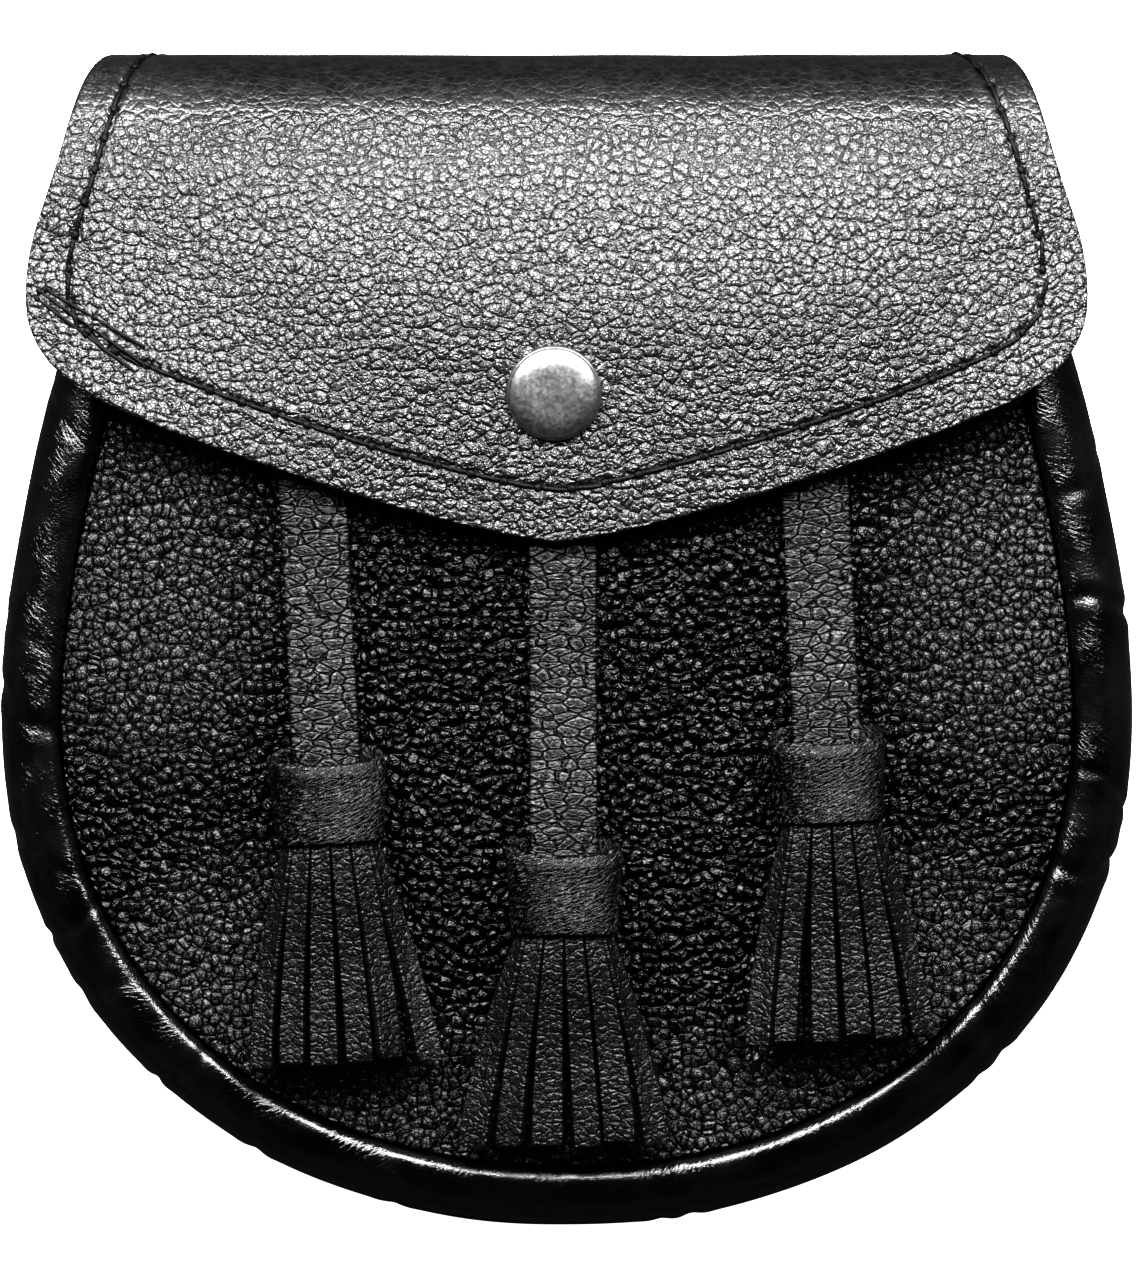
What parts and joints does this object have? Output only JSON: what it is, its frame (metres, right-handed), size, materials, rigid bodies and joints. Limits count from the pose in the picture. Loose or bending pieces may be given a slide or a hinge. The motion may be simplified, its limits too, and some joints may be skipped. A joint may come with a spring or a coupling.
{
  "type": "black leather day sporran pouch with snapped flap and three tassels",
  "caption": "Hollow leather pouch with a round bowl, rolled gusset, snapped pointed flap, fringed tassels on straps and belt loops on its flat back.",
  "frame": {"origin": "middle of the footprint, on the surface that the sporran lies on", "axes": "+Y up the sporran towards the flap's fold, +Z out of the front, +X to the right as seen from the front"},
  "size_m": [0.1906, 0.197, 0.0533],
  "materials": {
    "grained_leather": "black pebble-grained leather, semi-gloss on the tops of the grain",
    "smooth_leather": "black smooth leather, glossy, finely wrinkled",
    "strap_leather": "black leather with a cross-wise crackled grain",
    "fringe_leather": "black pebble-grained leather, matt",
    "antique_nickel": "antique nickel plate, satin and mottled",
    "snap_steel": "plain plated steel"
  },
  "bodies": {
    "root": {"back_panel": "smooth_leather", "belt_loop_left": "smooth_leather", "belt_loop_right": "smooth_leather", "collar_centre": "smooth_leather", "collar_left": "smooth_leather", "collar_right": "smooth_leather", "flap": "grained_leather", "fringe_centre": "fringe_leather", "fringe_left": "fringe_leather", "fringe_right": "fringe_leather", "front_panel": "grained_leather", "gusset": "smooth_leather", "snap_cap": "antique_nickel", "snap_post": "snap_steel", "strap_centre": "strap_leather", "strap_left": "strap_leather", "strap_right": "strap_leather"}
  },
  "joints": []
}
